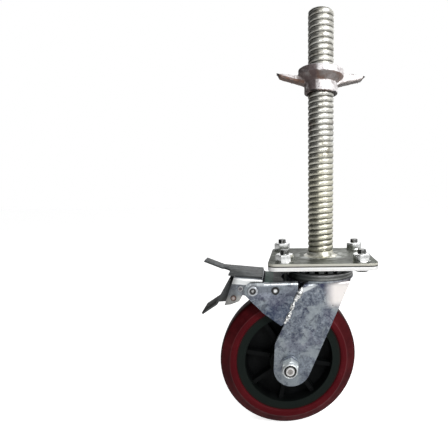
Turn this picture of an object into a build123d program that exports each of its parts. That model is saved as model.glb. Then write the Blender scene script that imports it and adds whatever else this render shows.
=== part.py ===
from build123d import *
import os
from math import atan2, cos, degrees, radians, sin, sqrt

# Scaffold castor: threaded jack stem with wing nut, bolted to a braked swivel castor.
# Frame: +Z up the stem, origin on the stem's axis at the wing nut's top face, where the scaffold tube sits.
# The wheel trails towards -X, the brake pedal is on the -X side, and the axle lies along Y.

# Clearances
run_gap = 0.08  # radial, round a pin that turns in its hole
fit_gap = 0.05  # radial, round a pin or race that is held still
side_gap = 0.6  # between plates that slide past each other
rest_gap = 0.3  # between pieces that only meet at the end of a stroke

hex_face = 0.96  # width of the round face left on a nut, as a share of its width across flats

# Threaded stem, a tube welded on the base plate
stem_d = 38.0  # over the thread's crests
stem_bore = 28.0
stem_length = 353.2
stem_end_chamfer = 1.5
thread_pitch = 8.0
thread_depth = 1.1
thread_groove_w = 3.6  # the rolled round thread, drawn as one groove a turn
thread_start = 8.3  # its lowest groove above the base plate
weld_leg = 6.5
weld_hollow = 0.3  # how far in the fillet's face bows, as a share of its leg

# Wing nut
nut_rise = 272.2  # its top face above the base plate
nut_height = 34.5
nut_bore_gap = 0.35
nut_flange_d = 68.0
nut_hub_d = 50.0
nut_rim = 10.5  # height of the flange's edge
nut_cone = 8.0  # height of the slope under the flange
nut_edge = 1.2
wing_span = 130.0
wing_foot = 22.5  # underside of the wing's root, below the nut's top face
wing_root_w = 19.0
wing_tip_w = 14.0
wing_low_side = 11.0  # top of the low side at the root, above the wing's underside
wing_high_side = 19.0
wing_rise = 9.0  # how far the underside climbs to the tip
wing_tip_t = 6.5
wing_tip_slant = 4.0  # how far the tip's top overhangs its foot
wing_tip_r = 4.0
wing_sink = 3.0  # how far the root runs into the hub

# Toothed lock ring under the castor plate; the plates, bolts and races are laid out from its size
lock_outer_d = 116.0
lock_ring_w = 8.0
lock_h = 4.5
lock_tooth_h = 3.4
lock_teeth = 28
lock_notch_w = 6.0
lock_inner_d = lock_outer_d - 2 * lock_ring_w

# Base plate and the castor's own plate
plate_turn = -3.1  # degrees about the stem, against the wheel's line
slot_to_ring = 16.5  # from the lock ring's edge to the middle of a slot
slot_angle = 40.6  # degrees, from the swivel's axis to a slot
plate_end = 19.3  # from the middle of a slot to the plate's short edge
plate_side = 13.5
slot_reach = lock_outer_d / 2 + slot_to_ring
slot_x = slot_reach * cos(radians(slot_angle))
slot_y = slot_reach * sin(radians(slot_angle))
plate_x = 2 * (slot_x + plate_end)
plate_y = 2 * (slot_y + plate_side)
plate_corner_r = 12.0
base_plate_t = 4.0
castor_plate_t = 6.0

# Plate bolts, M12 with low round heads, near one end of each slot
bolt_d = 12.0
bolt_hole_d = 13.0
slot_length = 20.0
bolt_outset = 3.3  # from the slots' middles: outwards the back pair, inwards the front pair
bolt_hex_af = 22.0
bolt_head_d = 22.0
bolt_head_h = 3.0
bolt_nut_h = 10.0
bolt_washer_d = 24.0
bolt_washer_t = 1.5
bolt_tail = 6.0
nut_turn = 11.0  # degrees, how the tightened nuts stand
bolt_end_chamfer = 1.0

# Wheel
wheel_d = 203.0
tyre_w = 50.0
tyre_t = 25.0  # from the rim to the tread
tyre_side_t = 9.0  # height of its upright side, above the rim
tyre_bevel_w = 34.0
tyre_toe = 1.5
tread_round_w = 9.0
tread_round_h = 3.0
rim_w = 45.0
rim_lip = 12.0
web_flare = 2.0
hub_d = 56.0
hub_length = 59.0
web_t = 10.0
spoke_count = 8
spoke_turn = 12.0  # degrees, the first spoke below the level
spoke_w = 6.0
spoke_drop = 5.0  # how far the spokes sit below the rim's lip
bearing_od = 42.0
bearing_w = 12.0
bearing_inset = 1.0
core_gap = 2.0  # between the core's bore and the axle sleeve

# Axle
axle_d = 12.0
sleeve_d = 20.0
axle_washer_w = 23.0  # long washers, which reach up the leg
axle_washer_l = 33.0
axle_washer_rise = 5.0
axle_washer_t = 2.5
axle_hex_af = 19.0
axle_head_h = 7.5
axle_nut_h = 9.0
axle_collar_h = 5.0
axle_collar_d = 18.0
axle_collar_edge = 1.5
axle_tail = 3.0

# Fork, pressed from one sheet
fork_gap = 63.0
fork_t = 5.5
fork_bend_r = 10.0
fork_trail = 49.0
crown_over_tyre = 22.0  # crown's top above the tyre's top
crown_back_x = -25.5
crown_front_x = 40.5
leg_back = (-21.0, 31.5)  # corners of the leg's outline, from the axle
leg_heel = (-22.8, -3.5)
leg_toe = (-2.0, -31.9)
leg_front = (28.3, -16.0)
leg_corner_r = 22.0

# Swivel head
head_room = 17.8  # crown's top to the castor plate
race_w = 15.0
race_t = 5.7
race_to_ring = 9.0
race_outer_d = lock_inner_d - 2 * race_to_ring
race_inner_d = race_outer_d - 2 * race_w
ball_d = 9.4
ball_circle_d = race_outer_d - race_w
ball_count = 12
low_ball_d = 7.8
low_ball_circle_d = 40.0
low_ball_count = 8
low_ball_sink = 0.9  # how far the lower balls run up into the crown
cup_outer_d = 54.0
cup_t = 5.6
cup_to_crown = 4.9
kingpin_d = 16.0
kingpin_head_d = 26.0
kingpin_hole_d = 18.0
kingpin_nut_af = 24.0
kingpin_nut_h = 10.0
kingpin_tail = 1.0
dust_t = 1.5
dust_h = 10.3
dust_lip_h = 2.4
dust_to_race = 6.5
dust_low_d = race_outer_d + 2 * (dust_to_race + dust_t)
dust_top_d = lock_inner_d + 2.0
crown_rim = 0.5  # how far the crown's round edge stands out under the dust ring
crown_d = dust_low_d + 2 * crown_rim
crown_edge_t = 2.5

# Brake bracket, folded, welded on the fork's back edges
bracket_t = 3.0
bracket_half_w = 36.0
bracket_top = 19.0  # above the tyre's top
bracket_back_x = -84.5
bracket_front_x = -36.8
bracket_foot = 3.0  # how far above its lowest corner the plate leaves the leg
bracket_bend_r = 5.0
bracket_low = (-61.0, -44.0)  # lowest corner: x, and height above the tyre's top
bracket_edge = (-86.5, -24.2)
bracket_notch_gap = 2.0  # round the lock ring
ear_r = 12.0
ear_angle = radians(39)  # where the plate's lower edge runs into the ear, below its level
weld_bead_d = 7.0
weld_run = 52.0  # height of the weld along the leg

# Pedal pivot and the brake arm's fulcrum: x, and height above the tyre's top
pivot_at = (-100.0, 7.7)
pivot_d = 10.0
pivot_head_d = 15.0
pivot_head_t = 2.4
fulcrum_at = (-68.6, 7.2)
fulcrum_d = 8.0
fulcrum_head_d = 11.0
fulcrum_head_t = 1.5

# Pedal, a folded channel
pedal_travel = 22.0  # degrees
pedal_t = 2.5
pedal_bend_r = 3.5
pedal_front_x = -86.0
pedal_back_x = -126.0
pedal_front_top = 22.8  # above the tyre's top
pedal_back_top = 27.0
# corners of the flange's lower end
pedal_foot = [(-139.8, -12.4), (-130.7, -11.6), (-119.3, -7.5), (-114.5, 1.2)]
pedal_eye_r = 10.0
pedal_eye_lean = radians(18)  # where the flange's lower edge runs into the eye

# Release plate on the pedal, with its offset arm
release_t = 2.5
release_bend_r = 5.0
release_end_x = -134.4
release_near_y = -27.5
release_far_y = 32.0
release_arm_y = 9.0
release_shoulder = 10.0
release_knee = (-148.0, 32.2)  # top of the bend
release_tip = (-174.6, 43.4)

# Lock lever, riveted inside the pedal
lever_t = 3.0
lever_half_w = 21.0
lever_top = (-132.6, 22.0)
lever_knee = (-152.5, -14.0)
lever_tip = (-173.0, -27.4)
lever_bend_r = 6.0
lever_ear_high = (-134.5, 18.5)
lever_ear_low = (-150.5, -11.0)
rivet_at = (-127.1, -2.5)
rivet_d = 6.0
rivet_head_d = 8.0
pedal_head_t = 1.5  # height of the heads on the pedal's pins

# Cam roller of the pedal, which pushes the brake arm down
roller_at = (-117.4, 10.5)
roller_d = 10.0
roller_pin_d = 6.0
roller_head_d = 7.6

# Brake arm and shoe
brake_ratio = 0.35  # turn of the brake arm for a turn of the pedal
arm_t = 4.0
arm_half_w = 16.0
arm_barrel_wall = 2.8
arm_back_x = -121.0
riser_half_w = 8.0
tongue_x = -(lock_outer_d + lock_inner_d) / 4
tongue_t = 4.0
tongue_w = 4.6
tongue_rise = 7.0  # the narrow tip, below the lock ring
shoe_front_x = -80.0
shoe_back_x = -100.0
shoe_half_w = 16.0
shoe_block_drop = 40.0  # the pad's blank, cut back to the tyre's curve
shoe_gap = 0.8  # left over the tyre at full stroke

# Heights, from the origin down
plate_top = -nut_rise
mount_face = plate_top - base_plate_t
castor_plate_low = mount_face - castor_plate_t
crown_top = castor_plate_low - head_room
crown_low = crown_top - fork_t
tyre_top = crown_top - crown_over_tyre
axle_z = tyre_top - wheel_d / 2
cup_top = crown_low - cup_to_crown
cup_low = cup_top - cup_t
leg_outer = fork_gap / 2 + fork_t
pedal_half_w = bracket_half_w - bracket_t - side_gap
tongue_root_z = castor_plate_low - lock_h - tongue_rise

parts = {}


def above_tyre(point):
    """A point of the side view given from the tyre's top, in the part's frame."""
    return (point[0], tyre_top + point[1])


def from_axle(point):
    return (point[0] - fork_trail, axle_z + point[1])


def side_slab(face, low_y, high_y):
    """Extrudes an outline of the side view from low_y to high_y."""
    return extrude(Plane.XZ.offset(-high_y) * face, high_y - low_y)


def turned(points, z_at=0.0):
    """A ring about a vertical axis, from its half section."""
    section = make_face(Polyline([(r, 0, z_at + z) for r, z in points], close=True))
    return revolve(section, Axis.Z)


def flat_ring(inner_d, outer_d, low_z, height):
    """A flat ring about the stem's axis."""
    section = [(inner_d / 2, 0), (outer_d / 2, 0), (outer_d / 2, height), (inner_d / 2, height)]
    return turned(section, low_z)


def lying_rod(diameter, low_y, high_y, at):
    """A round bar along Y at a point of the side view."""
    rod = Cylinder(diameter / 2, high_y - low_y)
    return Pos(at[0], (low_y + high_y) / 2, at[1]) * Rot(90, 0, 0) * rod


def standing_rod(diameter, low_z, high_z):
    return Pos(0, 0, (low_z + high_z) / 2) * Cylinder(diameter / 2, high_z - low_z)


def across(diameter, at):
    """A bar wide enough to drill through everything at a point of the side view."""
    return lying_rod(diameter, -2 * leg_outer, 2 * leg_outer, at)


def channel(outer_w, thickness, bend_r, depth, low_x, high_x):
    """A folded channel along X, open below, its top face at z = 0."""
    outer = Pos(0, -depth / 2) * Rectangle(2 * outer_w, depth)
    outer = fillet(outer.vertices().group_by(Axis.Y)[-1], bend_r)
    inner = Pos(0, -thickness - depth / 2) * Rectangle(2 * (outer_w - thickness), depth)
    inner = fillet(inner.vertices().group_by(Axis.Y)[-1], bend_r - thickness)
    return extrude(Plane.YZ.offset(low_x) * (outer - inner), high_x - low_x)


def hex_block(across_flats, low_z, high_z):
    """A hexagon with its corners turned off at 30 degrees at the top."""
    corner = across_flats / sqrt(3)
    flat_r = hex_face * across_flats / 2
    drop = (corner - flat_r) / sqrt(3)
    cone = turned([(0, low_z), (corner, low_z), (corner, high_z - drop), (flat_r, high_z), (0, high_z)])
    block = extrude(Pos(0, 0, low_z) * RegularPolygon(corner, 6), high_z - low_z)
    return block & cone


def both_sides(solid):
    """The solid and its mirror image across the castor's middle plane."""
    return [solid, mirror(solid, Plane.XZ)]


def leg_back_x(z):
    """The fork leg's straight back edge at a height."""
    corner = from_axle(leg_back)
    share = (z - corner[1]) / (crown_top - corner[1])
    return corner[0] + share * (crown_back_x - corner[0])


def bolt_places():
    """The four plate bolts, at the front inside and at the back outside of the slots' middles."""
    places = []
    for y, shift in ((-slot_y, -bolt_outset), (slot_y, bolt_outset)):
        for side in (-1, 1):
            places.append(Rot(0, 0, plate_turn) * Pos(side * (slot_x + shift), y, 0))
    return places


# Jack stem and the plate it stands on
def make_stem():
    crest_r = stem_d / 2
    section = [(stem_bore / 2, 0), (crest_r, 0)]
    for n in range(int((stem_length - thread_start - stem_end_chamfer) / thread_pitch) + 1):
        middle = thread_start + n * thread_pitch
        section.append((crest_r, middle - thread_groove_w / 2))
        section.append((crest_r - thread_depth, middle))
        section.append((crest_r, middle + thread_groove_w / 2))
    section.append((crest_r, stem_length - stem_end_chamfer))
    section.append((crest_r - stem_end_chamfer, stem_length))
    section.append((stem_bore / 2, stem_length))
    parts["threaded_stem"] = turned(section, plate_top)
    inner_r = stem_d / 2 + fit_gap
    waist = weld_hollow * weld_leg
    foot = [(inner_r, 0), (inner_r + weld_leg, 0), (inner_r + waist, waist), (inner_r, weld_leg)]
    parts["stem_weld"] = turned(foot, plate_top)


def plate_blank(low_z, thickness):
    outline = RectangleRounded(plate_x, plate_y, plate_corner_r)
    return Rot(0, 0, plate_turn) * extrude(Pos(0, 0, low_z) * outline, thickness)


def make_plates():
    base = plate_blank(mount_face, base_plate_t)
    for place in bolt_places():
        base -= place * standing_rod(bolt_hole_d, mount_face - 1, plate_top + 1)
    parts["base_plate"] = base
    plate = plate_blank(castor_plate_low, castor_plate_t)
    for x in (-slot_x, slot_x):
        for y in (-slot_y, slot_y):
            slot = Pos(x, y, castor_plate_low - 1) * SlotOverall(slot_length, bolt_hole_d)
            plate -= Rot(0, 0, plate_turn) * extrude(slot, castor_plate_t + 2)
    plate -= kingpin_head(fit_gap)
    parts["castor_plate"] = plate


def make_bolts():
    bolts, nuts, washers = [], [], []
    head_low = castor_plate_low - bolt_head_h
    nut_low = plate_top + bolt_washer_t
    tail = nut_low + bolt_nut_h + bolt_tail
    head = standing_rod(bolt_head_d, head_low, castor_plate_low)
    head = chamfer(head.edges().sort_by(Axis.Z)[0], bolt_head_h / 2)
    shank = standing_rod(bolt_d, castor_plate_low, tail)
    bolt = head + chamfer(shank.edges().sort_by(Axis.Z)[-1], bolt_end_chamfer)
    bore = standing_rod(bolt_d + 2 * fit_gap, plate_top - 1, tail)
    nut = Rot(0, 0, nut_turn) * hex_block(bolt_hex_af, nut_low, nut_low + bolt_nut_h) - bore
    washer = standing_rod(bolt_washer_d, plate_top, nut_low) - bore
    for place in bolt_places():
        bolts.append(place * bolt)
        nuts.append(place * nut)
        washers.append(place * washer)
    parts["plate_bolts"] = Compound(bolts)
    parts["plate_nuts"] = Compound(nuts)
    parts["plate_washers"] = Compound(washers)


# Wing nut
def nut_wing():
    """One wing towards +X, its near side the higher."""
    root_x = nut_hub_d / 2 - wing_sink
    tip_x = wing_span / 2
    half = wing_root_w / 2
    low = -wing_foot
    root = [(root_x, -half, low), (root_x, half, low), (root_x, half, low + wing_low_side),
            (root_x, -half, low + wing_high_side)]
    half = wing_tip_w / 2
    low += wing_rise
    foot_x = tip_x - wing_tip_slant
    tip = [(foot_x, -half, low), (foot_x, half, low), (tip_x, half, low + wing_tip_t),
           (tip_x, -half, low + wing_tip_t)]
    wing = loft([make_face(Polyline(corners, close=True)) for corners in (root, tip)], ruled=True)
    tip_face = wing.faces().sort_by(Axis.X)[-1]
    return fillet(tip_face.edges().filter_by(Axis.Y, reverse=True), wing_tip_r)


def make_wing_nut():
    bore_r = stem_d / 2 + nut_bore_gap
    hub_r = nut_hub_d / 2
    flange_r = nut_flange_d / 2
    section = [(bore_r, -nut_height), (hub_r, -nut_height), (hub_r, -nut_rim - nut_cone),
               (flange_r, -nut_rim), (flange_r, 0), (bore_r, 0)]
    body = turned(section)
    rims = body.edges().filter_by(GeomType.CIRCLE).filter_by(lambda edge: edge.radius > bore_r + nut_edge)
    body = chamfer(rims, nut_edge)
    wing = nut_wing()
    body += wing + Rot(0, 0, 180) * wing
    parts["wing_nut"] = body - standing_rod(2 * bore_r, -nut_height - 1, 1)


# Swivel head
def kingpin_head(gap):
    """The countersunk head, or its seat with a gap round it."""
    depth = castor_plate_t
    section = [(0, 0), (kingpin_head_d / 2 + gap, 0), (kingpin_d / 2 + gap, -depth), (0, -depth)]
    return turned(section, mount_face)


def ball_track(circle_d, diameter, z, gap):
    """The ring that a row of balls sweeps, a little wider than the balls."""
    return Pos(0, 0, z) * Torus(circle_d / 2, diameter / 2 + gap)


def ball_row(circle_d, diameter, z, count):
    balls = []
    for place in PolarLocations(circle_d / 2, count):
        balls.append(Pos(0, 0, z) * place * Sphere(diameter / 2))
    return Compound(balls)


def make_swivel_head():
    ball_z = crown_top + head_room / 2
    track = ball_track(ball_circle_d, ball_d, ball_z, run_gap)
    parts["crown_race"] = flat_ring(race_inner_d, race_outer_d, crown_top, race_t) - track
    parts["top_race"] = flat_ring(race_inner_d, race_outer_d, castor_plate_low - race_t, race_t) - track
    parts["upper_balls"] = ball_row(ball_circle_d, ball_d, ball_z, ball_count)
    low_z = crown_low + low_ball_sink - low_ball_d / 2
    low_track = ball_track(low_ball_circle_d, low_ball_d, low_z, run_gap)
    parts["lower_cup"] = flat_ring(kingpin_d + 2 * fit_gap, cup_outer_d, cup_low, cup_t) - low_track
    parts["lower_balls"] = ball_row(low_ball_circle_d, low_ball_d, low_z, low_ball_count)
    pin_low = cup_low - kingpin_nut_h - kingpin_tail
    pin = standing_rod(kingpin_d, pin_low, mount_face - castor_plate_t)
    parts["kingpin"] = pin + kingpin_head(0)
    nut_bore = standing_rod(kingpin_d + 2 * fit_gap, pin_low - 1, cup_low + 1)
    nut = Pos(0, 0, cup_low) * mirror(hex_block(kingpin_nut_af, 0, kingpin_nut_h), Plane.XY)
    parts["kingpin_nut"] = nut - nut_bore
    low_r = dust_low_d / 2
    top_r = dust_top_d / 2
    lip_low = dust_h - dust_lip_h
    outside = [(low_r, 0), (low_r, lip_low - dust_lip_h / 2), (top_r, lip_low), (top_r, dust_h)]
    inside = [(top_r - dust_t, dust_h), (top_r - dust_t, lip_low + dust_t), (low_r - dust_t, lip_low)]
    parts["dust_ring"] = turned(outside + inside + [(low_r - dust_t, 0)], crown_top)


def make_lock_ring():
    low = castor_plate_low - lock_h
    body = flat_ring(lock_inner_d, lock_outer_d, low, lock_h)
    notch = Box(2 * lock_ring_w, lock_notch_w, 2 * lock_tooth_h)
    places = PolarLocations((lock_outer_d + lock_inner_d) / 4, lock_teeth)
    parts["lock_ring"] = body - [Pos(0, 0, low) * place * notch for place in places]


# Fork
def fork_outline():
    """The leg from the side: straight front and back edges down to a rounded end."""
    back = from_axle(leg_back)
    heel = from_axle(leg_heel)
    toe = from_axle(leg_toe)
    front = from_axle(leg_front)
    edge = Polyline([(crown_back_x, crown_top), back, heel])
    end = ThreePointArc(heel, toe, front)
    rest = Polyline([front, (crown_front_x, crown_top), (crown_back_x, crown_top)])
    face = make_face(edge + end + rest)
    corner = face.vertices().sort_by_distance((back[0], back[1], 0))[0]
    return fillet(corner, leg_corner_r)


def make_fork():
    depth = crown_top - (axle_z - wheel_d / 2)
    bent = channel(leg_outer, fork_t, fork_bend_r, depth, -fork_trail - wheel_d, wheel_d)
    body = Pos(0, 0, crown_top) * bent & side_slab(fork_outline(), -2 * leg_outer, 2 * leg_outer)
    body += standing_rod(crown_d, crown_top - crown_edge_t, crown_top)
    body -= standing_rod(kingpin_hole_d, crown_low - 1, crown_top + 1)
    low_z = crown_low + low_ball_sink - low_ball_d / 2
    body -= ball_track(low_ball_circle_d, low_ball_d, low_z, run_gap)
    parts["fork"] = body - across(axle_d + 2 * fit_gap, (-fork_trail, axle_z))


# Wheel
def wheel_ring(points):
    """A ring about the axle from its half section, given as radius and half width."""
    full = points + [(r, -w) for r, w in reversed(points)]
    return wheel_turn(full)


def wheel_turn(points):
    section = make_face(Polyline([(r, w, 0) for r, w in points], close=True))
    ring = revolve(section, Axis.Y)
    return Pos(-fork_trail, 0, axle_z) * ring


def make_wheel():
    tread_r = wheel_d / 2
    rim_r = tread_r - tyre_t
    side_r = rim_r + tyre_side_t
    half = tyre_w / 2
    bevel = tyre_bevel_w / 2
    tyre = [(rim_r, rim_w / 2), (rim_r + tyre_toe, half), (side_r, half), (tread_r - tread_round_h, bevel),
            (tread_r - tread_round_h / 4, bevel - tread_round_w / 2), (tread_r, bevel - tread_round_w)]
    parts["tyre"] = wheel_ring(tyre)
    lip_r = rim_r - rim_lip
    hub_r = hub_d / 2
    seat_r = bearing_od / 2 + fit_gap
    seat_w = hub_length / 2 - bearing_inset - bearing_w
    bore_r = sleeve_d / 2 + core_gap
    rim = [(bore_r, seat_w), (seat_r, seat_w), (seat_r, hub_length / 2), (hub_r, hub_length / 2),
           (hub_r + web_flare, web_t / 2), (lip_r - web_flare, web_t / 2), (lip_r, rim_w / 2),
           (rim_r - fit_gap, rim_w / 2)]
    core = wheel_ring(rim)
    spoke_low = hub_r - 1
    spoke_long = lip_r - spoke_low
    spoke = Pos(spoke_low + spoke_long / 2, 0, 0) * Box(spoke_long + 1, rim_w - 2 * spoke_drop, spoke_w)
    for n in range(spoke_count):
        core += Pos(-fork_trail, 0, axle_z) * Rot(0, spoke_turn + 360 / spoke_count * n, 0) * spoke
    parts["rim"] = core
    bearings = []
    for side in (-1, 1):
        outer_face = side * (hub_length / 2 - bearing_inset)
        inner_face = outer_face - side * bearing_w
        low, high = sorted((outer_face, inner_face))
        at = (-fork_trail, axle_z)
        ring = lying_rod(bearing_od, low, high, at)
        bearings.append(ring - lying_rod(sleeve_d + 2 * run_gap, low - 1, high + 1, at))
    parts["wheel_bearings"] = Compound(bearings)


def make_axle():
    at = (-fork_trail, axle_z)
    half_gap = fork_gap / 2
    bore = across(axle_d + 2 * fit_gap, at)
    parts["axle_sleeve"] = lying_rod(sleeve_d, -half_gap, half_gap, at) - bore
    seat = leg_outer + axle_washer_t
    outline = Rot(0, 0, 90) * SlotOverall(axle_washer_l, axle_washer_w)
    outline = Pos(-fork_trail, axle_z + axle_washer_rise) * outline
    parts["axle_washers"] = Compound(both_sides(side_slab(outline, -seat, -leg_outer) - bore))
    nut_len = axle_nut_h + axle_collar_h
    shank = lying_rod(axle_d, -seat - nut_len - axle_tail, seat, at)
    to_front = Pos(-fork_trail, -seat, axle_z) * Rot(90, 0, 0)
    to_back = Pos(-fork_trail, seat, axle_z) * Rot(-90, 0, 0)
    parts["axle_bolt"] = shank + to_back * hex_block(axle_hex_af, 0, axle_head_h)
    collar = standing_rod(axle_collar_d, axle_nut_h - 1, nut_len)
    collar = chamfer(collar.edges().sort_by(Axis.Z)[-1], axle_collar_edge)
    nut = to_front * (hex_block(axle_hex_af, 0, axle_nut_h) + collar)
    parts["axle_nut"] = nut - bore


# Brake bracket
def bracket_outline():
    top = tyre_top + bracket_top
    low_x, low_z = above_tyre(bracket_low)
    ear_x, ear_z = above_tyre(pivot_at)
    under_ear = (ear_x - ear_r * cos(ear_angle), ear_z - ear_r * sin(ear_angle))
    rise = (leg_back_x(top) - leg_back_x(low_z)) / (top - low_z)
    meet_z = low_z + (bracket_front_x - leg_back_x(low_z)) / rise
    foot = (leg_back_x(low_z + bracket_foot), low_z + bracket_foot)
    corners = [(ear_x, ear_z + ear_r), (bracket_back_x, top), (bracket_front_x, top)]
    corners += [(bracket_front_x, meet_z), foot, (low_x, low_z), above_tyre(bracket_edge), under_ear]
    plate = make_face(Polyline(corners, close=True))
    return plate + Pos(ear_x, ear_z) * Circle(ear_r)


def make_bracket():
    inner_w = bracket_half_w - bracket_t
    top = tyre_top + bracket_top
    depth = top - tyre_top - bracket_low[1] + 1
    slab = side_slab(bracket_outline(), -bracket_half_w, bracket_half_w)
    fold = channel(bracket_half_w, bracket_t, bracket_bend_r, depth, bracket_back_x, 0)
    body = Pos(0, 0, top) * fold & slab
    notch_d = lock_outer_d + 2 * bracket_notch_gap
    notch = standing_rod(notch_d, top - bracket_t - 1, top + 1)
    body -= notch & Box(2 * notch_d, 2 * (bracket_half_w - bracket_bend_r), 3 * nut_rise)
    behind = Pos(bracket_back_x - plate_x / 2, 0, top) * Box(plate_x, 2 * bracket_half_w, 2 * depth)
    body += (slab & behind) - Box(4 * plate_x, 2 * inner_w, 5 * nut_rise)
    body -= across(pivot_d + 2 * fit_gap, above_tyre(pivot_at))
    body -= across(fulcrum_d + 2 * fit_gap, above_tyre(fulcrum_at))
    parts["brake_bracket"] = body


def make_bracket_welds():
    low_z = tyre_top + bracket_low[1] + bracket_foot
    high_z = low_z + weld_run
    low = Vector(leg_back_x(low_z), -bracket_half_w, low_z)
    high = Vector(leg_back_x(high_z), -bracket_half_w, high_z)
    run = high - low
    rod = Pos(0, 0, run.length / 2) * Cylinder(weld_bead_d / 2, run.length)
    bead = Plane(origin=low, z_dir=run) * rod
    bead += Pos(*low) * Sphere(weld_bead_d / 2)
    bead += Pos(*high) * Sphere(weld_bead_d / 2)
    bead -= Box(4 * plate_x, 2 * bracket_half_w, 5 * nut_rise)
    parts["bracket_welds"] = Compound(both_sides(bead - parts["fork"]))


def make_pins():
    pivot = above_tyre(pivot_at)
    inner_face = pedal_half_w - pedal_t - side_gap
    shank = lying_rod(pivot_d, -bracket_half_w, -inner_face, pivot)
    head = lying_rod(pivot_head_d, -bracket_half_w - pivot_head_t, -bracket_half_w, pivot)
    head = chamfer(head.edges().group_by(Axis.Y)[0], pivot_head_t / 2)
    keeper = lying_rod(pivot_head_d, -inner_face, -inner_face + pivot_head_t, pivot)
    dimple = lying_rod(pivot_d / 2, -2 * leg_outer, -bracket_half_w, pivot)
    parts["pivot_rivets"] = Compound(both_sides(shank + head + keeper - dimple))
    fulcrum = above_tyre(fulcrum_at)
    out = bracket_half_w + fulcrum_head_t
    pin = lying_rod(fulcrum_d, -out, out, fulcrum)
    for side in (-1, 1):
        low, high = sorted((side * bracket_half_w, side * out))
        pin += lying_rod(fulcrum_head_d, low, high, fulcrum)
    parts["fulcrum_pin"] = pin


# Pedal
def pedal_line(x):
    """The pedal's top surface at a place along it."""
    share = (pedal_front_x - x) / (pedal_front_x - pedal_back_x)
    return tyre_top + pedal_front_top + share * (pedal_back_top - pedal_front_top)


def make_pedal():
    eye_x, eye_z = above_tyre(pivot_at)
    corners = [(pedal_front_x, pedal_line(pedal_front_x)), (pedal_back_x, pedal_line(pedal_back_x))]
    corners += [above_tyre(point) for point in pedal_foot]
    corners.append((eye_x - pedal_eye_r * sin(pedal_eye_lean), eye_z - pedal_eye_r * cos(pedal_eye_lean)))
    corners.append((eye_x + pedal_eye_r, eye_z))
    flange = make_face(Polyline(corners, close=True)) + Pos(eye_x, eye_z) * Circle(pedal_eye_r)
    slope = degrees(atan2(pedal_back_top - pedal_front_top, pedal_front_x - pedal_back_x))
    depth = pedal_back_top - pedal_foot[0][1] + 10
    fold = channel(pedal_half_w, pedal_t, pedal_bend_r, depth, -2 * depth, depth)
    placed = Pos(pedal_front_x, 0, pedal_line(pedal_front_x)) * Rot(0, slope, 0) * fold
    body = placed & side_slab(flange, -pedal_half_w, pedal_half_w)
    body -= across(pivot_d + 2 * run_gap, above_tyre(pivot_at))
    body -= across(roller_pin_d + 2 * fit_gap, above_tyre(roller_at))
    parts["pedal"] = body - across(rivet_d + 2 * fit_gap, above_tyre(rivet_at))


def make_release_plate():
    knee_x, knee_top = above_tyre(release_knee)
    tip_x, tip_top = above_tyre(release_tip)
    lift = release_t / 2
    start = (pedal_front_x, pedal_line(pedal_front_x) + lift)
    bend = [start, (knee_x, knee_top - lift), (tip_x, tip_top - lift)]
    face = trace(FilletPolyline(*bend, radius=release_bend_r), release_t)
    plate = side_slab(face, -pedal_half_w, pedal_half_w)
    turn_x = release_end_x - release_shoulder
    near = [(pedal_front_x - 1, release_near_y), (release_end_x, release_near_y)]
    shoulder = [(release_end_x, release_arm_y - release_shoulder), (turn_x, release_arm_y)]
    far = [(2 * tip_x, release_arm_y), (2 * tip_x, release_far_y), (pedal_front_x - 1, release_far_y)]
    plan = near + shoulder + far
    column = extrude(Pos(0, 0, mount_face) * make_face(Polyline(plan, close=True)), -plate_x)
    body = plate & column
    parts["release_plate"] = body - parts["pedal"]


def make_lock_lever():
    bend = [above_tyre(point) for point in (lever_top, lever_knee, lever_tip)]
    face = trace(FilletPolyline(*bend, radius=lever_bend_r), lever_t)
    body = side_slab(face, -lever_half_w, lever_half_w)
    rivet_x, rivet_z = above_tyre(rivet_at)
    high = above_tyre(lever_ear_high)
    low = above_tyre(lever_ear_low)
    corners = [high, (rivet_x, rivet_z + rivet_head_d), (rivet_x, rivet_z - rivet_head_d), low]
    ear = make_face(Polyline(corners, close=True))
    ear += Pos(rivet_x, rivet_z) * Circle(rivet_head_d)
    ear -= Pos(rivet_x, rivet_z) * Circle(rivet_d / 2 + fit_gap)
    sheet = side_slab(ear, -lever_half_w, lever_t - lever_half_w)
    for solid in both_sides(sheet):
        body += solid
    parts["lock_lever"] = body


def headed_pin(at, diameter, head_d):
    """A pin across the pedal with a riveted head at each end."""
    out = pedal_half_w + pedal_head_t
    pin = lying_rod(diameter, -out, out, at)
    head = lying_rod(head_d, -out, -pedal_half_w, at)
    head = chamfer(head.edges().group_by(Axis.Y)[0], 0.5 * pedal_head_t)
    for solid in both_sides(head):
        pin += solid
    return pin


def make_pedal_pins():
    lever_pin = headed_pin(above_tyre(rivet_at), rivet_d, rivet_head_d)
    parts["lever_pin"] = lever_pin
    roller_pin = headed_pin(above_tyre(roller_at), roller_pin_d, roller_head_d)
    parts["roller_pin"] = roller_pin
    roller = lying_rod(roller_d, -lever_half_w, lever_half_w, above_tyre(roller_at))
    parts["cam_roller"] = roller - across(roller_pin_d + 2 * fit_gap, above_tyre(roller_at))


# Brake arm
def arm_line(x):
    """The middle of the arm's sheet between the barrel and its free end."""
    roller_x, roller_z = above_tyre(roller_at)
    fulcrum_x, fulcrum_z = above_tyre(fulcrum_at)
    end_z = roller_z - roller_d / 2 - rest_gap - arm_t / 2
    return end_z + (x - roller_x) / (fulcrum_x - roller_x) * (fulcrum_z - end_z)


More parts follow.
